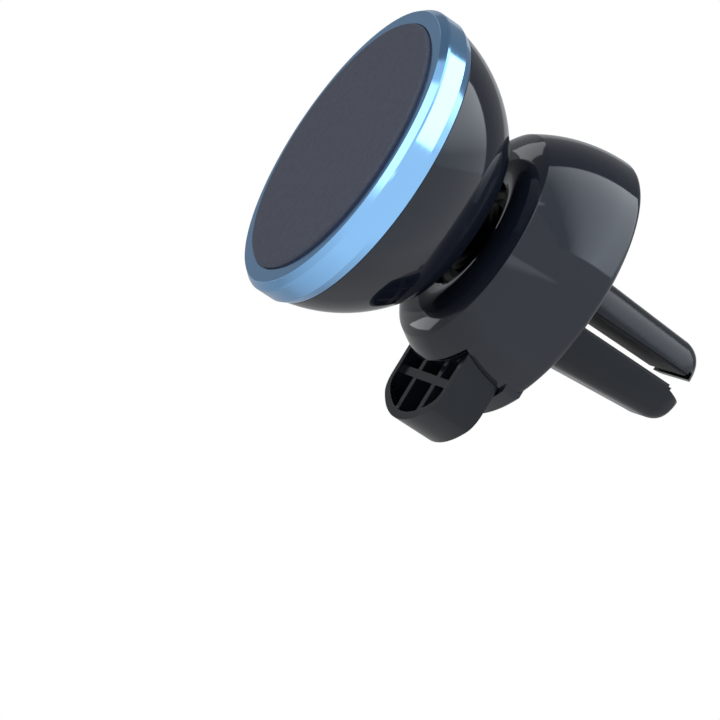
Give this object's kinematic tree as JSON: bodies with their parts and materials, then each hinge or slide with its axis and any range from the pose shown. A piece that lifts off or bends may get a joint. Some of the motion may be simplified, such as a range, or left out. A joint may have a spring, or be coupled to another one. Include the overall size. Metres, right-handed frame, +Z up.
{
  "type": "car phone mount",
  "caption": "Magnetic phone holder for a car air vent: round pad in a coloured ring on a domed head, ball joint, flared barrel and a two-jaw vent clip with a release lever.",
  "frame": {"origin": "centre of the magnetic pad's front face, where the phone rests", "axes": "+Y runs back from the phone into the vent, +Z up (the release lever is below), +X sideways"},
  "size_m": [0.0462, 0.0626, 0.0508],
  "materials": {
    "pad_rubber": "matt, fine grain",
    "blue_aluminium": "anodised light blue, turned",
    "gloss_black": "high gloss moulded",
    "satin_black": "satin moulded",
    "matte_black": "matt moulded",
    "inner_plastic": "plain moulded",
    "acetal": "natural acetal",
    "jaw_rubber": "matt",
    "tape": "double-sided foam tape",
    "black_steel": "black oxide",
    "nickel": "nickel plated",
    "steel": "zinc plated",
    "spring_steel": "spring wire"
  },
  "bodies": {
    "base": {"ball_stud": "black_steel", "dish_insert": "matte_black", "stud_washer": "steel", "stud_nut": "steel", "barrel_shell": "gloss_black", "clamp_frame": "satin_black", "upper_jaw_pad": "jaw_rubber", "frame_screws": "steel", "pivot_pin": "steel", "lever_spring": "spring_steel"},
    "liner": {"ball_liner": "acetal"},
    "cup": {"socket_cup": "inner_plastic", "cup_cap": "inner_plastic"},
    "head": {"head_shell": "gloss_black", "bezel_ring": "blue_aluminium", "front_pad": "pad_rubber", "pad_tape": "tape", "magnet_carrier": "inner_plastic", "magnets": "nickel", "yoke_plate": "steel", "head_screws": "steel", "spin_washer": "acetal"},
    "lever": {"release_lever": "satin_black", "lower_jaw_pad": "jaw_rubber"}
  },
  "joints": [
    {"name": "head_tilt", "type": "hinge", "parent": "base", "child": "liner", "pos_m": [0, 0.0135, 0], "axis": [1, 0, 0], "range_deg": [-8, 8]},
    {"name": "head_pan", "type": "hinge", "parent": "liner", "child": "cup", "pos_m": [0, 0.0135, 0], "axis": [0, 0, 1], "range_deg": [-8, 8]},
    {"name": "head_spin", "type": "hinge", "parent": "cup", "child": "head", "pos_m": [0, 0.0135, 0], "axis": [0, 1, 0], "continuous": true},
    {"name": "lever_press", "type": "hinge", "parent": "base", "child": "lever", "pos_m": [0, 0.0305, -0.0112], "axis": [1, 0, 0], "range_deg": [-7, 0], "stiffness_Nm_per_rad": 0.12, "springref_deg": 20.05, "deforming": ["lever_spring"]}
  ]
}
